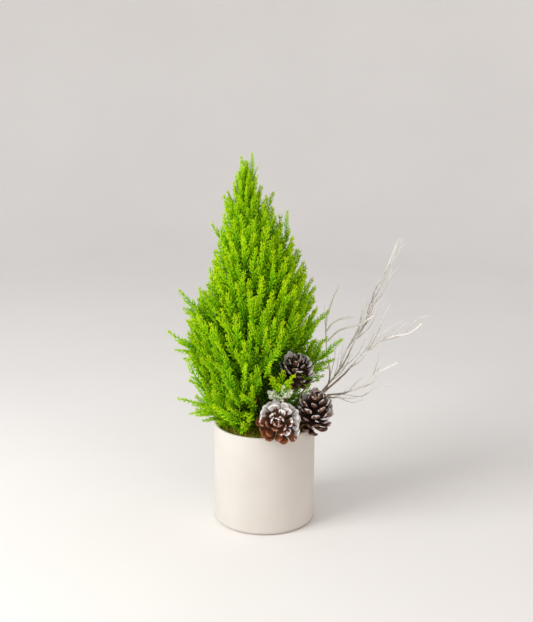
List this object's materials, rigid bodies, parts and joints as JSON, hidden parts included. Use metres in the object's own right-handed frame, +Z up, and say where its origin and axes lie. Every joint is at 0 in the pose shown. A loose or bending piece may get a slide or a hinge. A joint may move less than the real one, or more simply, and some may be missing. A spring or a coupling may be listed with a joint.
{
  "type": "artificial tabletop tree",
  "caption": "Narrow feathery tabletop conifer in a straight white cover pot, with frosted pine cones, a snow-tipped sprig and a fan of pale twigs.",
  "frame": {"origin": "centre of the pot's underside, on the surface that it stands on", "axes": "+Z up, +X towards the fan of twigs, -Y towards the front, where the pine cones are"},
  "size_m": [0.3706, 0.2062, 0.545],
  "materials": {
    "white_ceramic": "matte white glaze",
    "liner_plastic": "black moulded",
    "cement": "poured cement",
    "dry_foam": "dry florist's foam",
    "moss": "preserved moss",
    "trunk_bark": "brown bark",
    "foliage": "lime green, feathery",
    "frosted_foliage": "lime green with snow flock",
    "pine_cone": "brown with white frost",
    "pale_twig": "bleached and frosted",
    "pick_wood": "raw wood",
    "tie_wire": "green paddle wire"
  },
  "bodies": {
    "cover_pot": {"cover_pot": "white_ceramic"},
    "planting": {"liner_pot": "liner_plastic", "cement_ballast": "cement", "foam_block": "dry_foam", "moss_mat": "moss", "trunk": "trunk_bark", "skirt_branch_1": "foliage", "skirt_branch_2": "foliage", "skirt_branch_3": "foliage", "skirt_branch_4": "foliage", "skirt_branch_5": "foliage", "lower_branch_1": "foliage", "lower_branch_2": "foliage", "lower_branch_3": "foliage", "lower_branch_4": "foliage", "lower_branch_5": "foliage", "mid_branch_1": "foliage", "mid_branch_2": "foliage", "mid_branch_3": "foliage", "mid_branch_4": "foliage", "mid_branch_5": "foliage", "mid_branch_6": "foliage", "belly_branch_1": "foliage", "belly_branch_2": "foliage", "belly_branch_3": "foliage", "belly_branch_4": "foliage", "belly_branch_5": "foliage", "upper_branch_1": "foliage", "upper_branch_2": "foliage", "upper_branch_3": "foliage", "upper_branch_4": "foliage", "crest_branch_1": "foliage", "crest_branch_2": "foliage", "crest_branch_3": "foliage", "crown_branch_1": "foliage", "crown_branch_2": "foliage", "crown_branch_3": "foliage", "top_branch_1": "foliage", "top_branch_2": "foliage", "leader": "foliage"},
    "cone_front": {"cone_front": "pine_cone", "cone_front_pick": "pick_wood"},
    "cone_right": {"cone_right": "pine_cone", "cone_right_pick": "pick_wood"},
    "cone_upper": {"cone_upper": "pine_cone", "cone_upper_pick": "pick_wood"},
    "frosted_sprig": {"frosted_sprig": "frosted_foliage"},
    "twig_bundle": {"twig_low": "pale_twig", "twig_right": "pale_twig", "twig_tall": "pale_twig", "twig_mid": "pale_twig", "twig_left": "pale_twig", "twig_short": "pale_twig", "twig_pick": "pick_wood", "twig_tie": "tie_wire"},
    "loose_spray_left_high": {"loose_spray_left_high": "foliage"},
    "loose_spray_left_mid": {"loose_spray_left_mid": "foliage"},
    "loose_spray_left_low": {"loose_spray_left_low": "foliage"},
    "loose_spray_right": {"loose_spray_right": "foliage"}
  },
  "joints": [
    {"name": "planting_lift", "type": "slide", "parent": "cover_pot", "child": "planting", "axis": [0, 0, 1], "range_m": [0, 0.16]},
    {"name": "cone_front_pull", "type": "slide", "parent": "planting", "child": "cone_front", "axis": [0.1224, -0.5008, 0.8569], "range_m": [0, 0.07]},
    {"name": "cone_right_pull", "type": "slide", "parent": "planting", "child": "cone_right", "axis": [0.4762, -0.2694, 0.837], "range_m": [0, 0.07]},
    {"name": "cone_upper_pull", "type": "slide", "parent": "planting", "child": "cone_upper", "axis": [0.2433, -0.2546, 0.9359], "range_m": [0, 0.045]},
    {"name": "frosted_sprig_pull", "type": "slide", "parent": "planting", "child": "frosted_sprig", "axis": [0.039, -0.224, 0.9738], "range_m": [0, 0.06]},
    {"name": "twig_bundle_pull", "type": "slide", "parent": "planting", "child": "twig_bundle", "axis": [0.5362, 0.0511, 0.8426], "range_m": [0, 0.06]},
    {"name": "loose_spray_left_high_bend", "type": "hinge", "parent": "planting", "child": "loose_spray_left_high", "pos_m": [-0.01723, -0.00055, 0.25], "axis": [-0.1273, 0.9919, 0], "range_deg": [-12, 12]},
    {"name": "loose_spray_left_mid_bend", "type": "hinge", "parent": "planting", "child": "loose_spray_left_mid", "pos_m": [-0.01601, -0.0008, 0.21], "axis": [-0.1726, 0.985, 0], "range_deg": [-12, 12]},
    {"name": "loose_spray_left_low_bend", "type": "hinge", "parent": "planting", "child": "loose_spray_left_low", "pos_m": [-0.01449, 0.00034, 0.156], "axis": [0.0673, 0.9977, 0], "range_deg": [-2, 14]},
    {"name": "loose_spray_right_bend", "type": "hinge", "parent": "planting", "child": "loose_spray_right", "pos_m": [-0.00485, -0.00033, 0.168], "axis": [-0.0655, -0.9979, 0], "range_deg": [-8, 1.5]}
  ]
}
